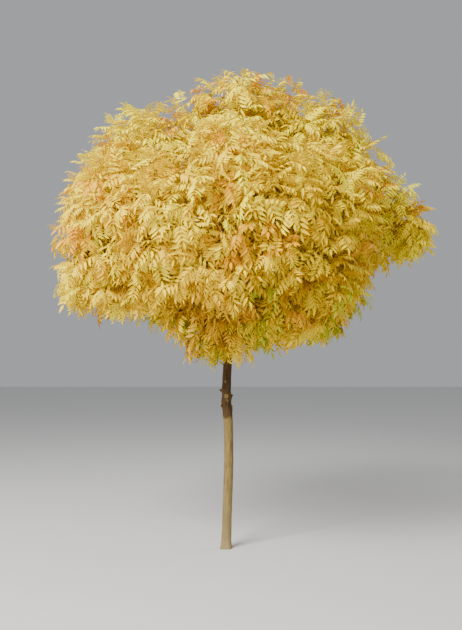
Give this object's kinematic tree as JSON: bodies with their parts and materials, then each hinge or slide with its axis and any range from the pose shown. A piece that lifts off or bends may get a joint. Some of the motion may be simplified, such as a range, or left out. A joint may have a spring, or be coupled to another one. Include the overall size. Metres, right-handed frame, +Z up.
{
  "type": "jaspidea european ash tree",
  "caption": "Young golden ash in autumn leaf: a round crown of drooping compound leaves on a clear stem with a high graft.",
  "frame": {"origin": "centre of the flat cut of the stem at ground level", "axes": "+Z up the stem, -Y towards the side that the picture shows, +X to the right in it"},
  "size_m": [3.2727, 2.9348, 4.1594],
  "materials": {
    "trunk_bark": "pale olive tan bark with small lenticels, dark brown and knotted above the graft",
    "bough_bark": "smooth matt dark brown young bark",
    "foliage": "satin golden yellow leaf, lemon to ochre"
  },
  "bodies": {
    "root": {"bough_back": "bough_bark", "bough_back_left": "bough_bark", "bough_back_right": "bough_bark", "bough_far_right": "bough_bark", "bough_front_left": "bough_bark", "bough_front_right": "bough_bark", "bough_left": "bough_bark", "bough_left_front": "bough_bark", "bough_low_front": "bough_bark", "bough_low_left": "bough_bark", "bough_low_left_back": "bough_bark", "bough_low_right": "bough_bark", "bough_low_right_front": "bough_bark", "bough_right": "bough_bark", "bough_right_front": "bough_bark", "bough_skirt_back_left": "bough_bark", "bough_skirt_back_right": "bough_bark", "bough_skirt_front": "bough_bark", "bough_skirt_left": "bough_bark", "bough_skirt_right": "bough_bark", "bough_skirt_trunk": "bough_bark", "bough_upper_back": "bough_bark", "bough_upper_front": "bough_bark", "bough_upper_left": "bough_bark", "bough_upper_right": "bough_bark", "foliage_back": "foliage", "foliage_back_left": "foliage", "foliage_back_right": "foliage", "foliage_far_right": "foliage", "foliage_front_left": "foliage", "foliage_front_right": "foliage", "foliage_left": "foliage", "foliage_left_front": "foliage", "foliage_low_front": "foliage", "foliage_low_left": "foliage", "foliage_low_left_back": "foliage", "foliage_low_right": "foliage", "foliage_low_right_front": "foliage", "foliage_right": "foliage", "foliage_right_front": "foliage", "foliage_skirt_back_left": "foliage", "foliage_skirt_back_right": "foliage", "foliage_skirt_front": "foliage", "foliage_skirt_left": "foliage", "foliage_skirt_right": "foliage", "foliage_skirt_trunk": "foliage", "foliage_top": "foliage", "foliage_upper_back": "foliage", "foliage_upper_front": "foliage", "foliage_upper_left": "foliage", "foliage_upper_right": "foliage", "trunk": "trunk_bark"}
  },
  "joints": []
}
